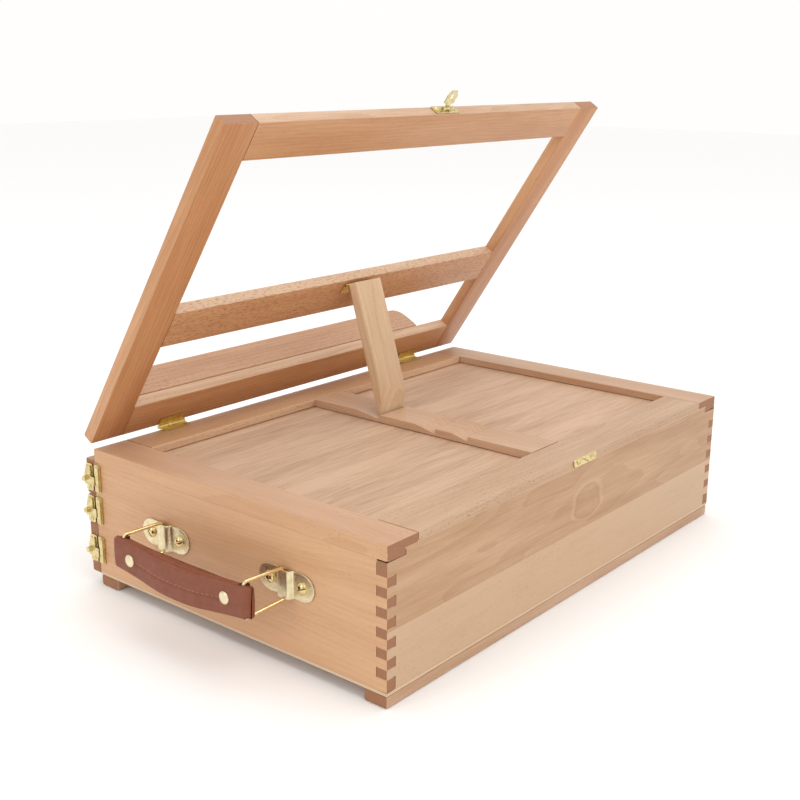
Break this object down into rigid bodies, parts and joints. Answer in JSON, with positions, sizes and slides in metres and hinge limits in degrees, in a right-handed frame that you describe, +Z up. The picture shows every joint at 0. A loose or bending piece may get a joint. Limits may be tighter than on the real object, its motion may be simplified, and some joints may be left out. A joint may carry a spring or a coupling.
{
  "type": "tabletop artist easel",
  "caption": "Wooden tabletop artist easel: a drawer box with side latches and a leather handle, its lid carrying a tilting canvas frame held by a folding prop leg.",
  "frame": {"origin": "under the middle of the whole object, on the table", "axes": "+X towards the side with the carrying handle, +Y towards the rear wall with the hasp catch, +Z up; the drawers and the canvas ledge face -Y"},
  "size_m": [0.4618, 0.2984, 0.3531],
  "materials": {
    "beech": "clear satin lacquer on pale beech",
    "beech_warm": "clear satin lacquer on warmer beech",
    "plywood": "smooth thin plywood",
    "brass": "bright brass plate",
    "wire": "dull brass-plated wire",
    "leather": "matt brown leather with stitching"
  },
  "bodies": {
    "case": {"bottom_board": "plywood", "drawer_divider_1": "plywood", "drawer_divider_2": "plywood", "foot_front": "beech", "foot_rear": "beech", "handle_bracket_front": "brass", "handle_bracket_rear": "brass", "hasp_catch": "brass", "hinge_far_side_lid_leaf": "brass", "hinge_handle_side_lid_leaf": "brass", "latch_1_keeper": "brass", "latch_2_keeper": "brass", "latch_3_keeper": "brass", "lid_panel": "plywood", "lid_rail_front": "beech", "lid_rail_rear": "beech", "lid_stile_far_side": "beech", "lid_stile_handle_side": "beech", "ratchet_rail": "beech", "wall_far_side": "beech", "wall_handle_side": "beech", "wall_rear": "beech"},
    "easel_frame": {"canvas_ledge": "beech", "frame_rail_bottom": "plywood", "frame_rail_middle": "beech_warm", "frame_rail_top": "beech_warm", "frame_stile_far_side": "beech_warm", "frame_stile_handle_side": "beech_warm", "hasp_base": "brass", "hasp_pin": "brass", "hinge_far_side_frame_leaf": "brass", "hinge_far_side_pin": "brass", "hinge_handle_side_frame_leaf": "brass", "hinge_handle_side_pin": "brass", "prop_hinge_frame_leaf": "brass", "prop_hinge_pin": "brass"},
    "prop_leg": {"prop_leg": "beech", "prop_hinge_leg_leaf": "brass"},
    "hasp": {"hasp_plate": "brass"},
    "handle_front_loop": {"handle_loop_front": "wire"},
    "handle_rear_loop": {"handle_loop_rear": "wire"},
    "handle_grip": {"handle_grip": "leather", "handle_rivet_front": "brass", "handle_rivet_rear": "brass"},
    "drawer_1": {"drawer_1_front": "beech", "drawer_1_tray": "beech", "drawer_1_bottom": "plywood", "latch_1_plate": "brass"},
    "latch_1": {"latch_1_lever": "brass"},
    "drawer_2": {"drawer_2_front": "beech", "drawer_2_tray": "beech", "drawer_2_bottom": "plywood", "latch_2_plate": "brass"},
    "latch_2": {"latch_2_lever": "brass"},
    "drawer_3": {"drawer_3_front": "beech", "drawer_3_tray": "beech", "drawer_3_bottom": "plywood", "latch_3_plate": "brass"},
    "latch_3": {"latch_3_lever": "brass"}
  },
  "joints": [
    {"name": "easel_tilt", "type": "hinge", "parent": "case", "child": "easel_frame", "pos_m": [-0.01838, -0.13021, 0.1069], "axis": [1, 0, 0], "range_deg": [-56.45, 20]},
    {"name": "prop_leg_fold", "type": "hinge", "parent": "easel_frame", "child": "prop_leg", "pos_m": [-0.02148, -0.06634, 0.20338], "axis": [1, 0, 0], "range_deg": [-46.3, 129.77]},
    {"name": "hasp_fold", "type": "hinge", "parent": "easel_frame", "child": "hasp", "pos_m": [-0.02188, 0.0183, 0.34043], "axis": [1, 0, 0], "range_deg": [-90, 60]},
    {"name": "drawer_1_slide", "type": "slide", "parent": "case", "child": "drawer_1", "axis": [0, -1, 0], "range_m": [0, 0.2]},
    {"name": "latch_1_turn", "type": "hinge", "parent": "drawer_1", "child": "latch_1", "pos_m": [0.19442, -0.13401, 0.08941], "axis": [1, 0, 0], "range_deg": [-100, 0]},
    {"name": "drawer_2_slide", "type": "slide", "parent": "case", "child": "drawer_2", "axis": [0, -1, 0], "range_m": [0, 0.2]},
    {"name": "latch_2_turn", "type": "hinge", "parent": "drawer_2", "child": "latch_2", "pos_m": [0.19442, -0.13401, 0.06499], "axis": [1, 0, 0], "range_deg": [-100, 0]},
    {"name": "drawer_3_slide", "type": "slide", "parent": "case", "child": "drawer_3", "axis": [0, -1, 0], "range_m": [0, 0.2]},
    {"name": "latch_3_turn", "type": "hinge", "parent": "drawer_3", "child": "latch_3", "pos_m": [0.19442, -0.13401, 0.03437], "axis": [1, 0, 0], "range_deg": [-100, 0]},
    {"name": "handle_front_swing", "type": "hinge", "parent": "case", "child": "handle_front_loop", "pos_m": [0.19662, -0.05156, 0.0591], "axis": [0, 0, 1], "range_deg": [-45, 70]},
    {"name": "handle_rear_swing", "type": "hinge", "parent": "case", "child": "handle_rear_loop", "pos_m": [0.19662, 0.06414, 0.0591], "axis": [0, 0, 1], "range_deg": [-45, 70]},
    {"name": "handle_grip_swing", "type": "hinge", "parent": "handle_front_loop", "child": "handle_grip", "pos_m": [0.22488, -0.05808, 0.0591], "axis": [0, 0, 1], "range_deg": [-70, 45]}
  ],
  "couplings": [
    {"joint": "prop_leg_fold", "follows": "easel_tilt", "ratio": -2.29},
    {"joint": "handle_rear_swing", "follows": "handle_front_swing", "ratio": 1},
    {"joint": "handle_grip_swing", "follows": "handle_front_swing", "ratio": -1}
  ]
}
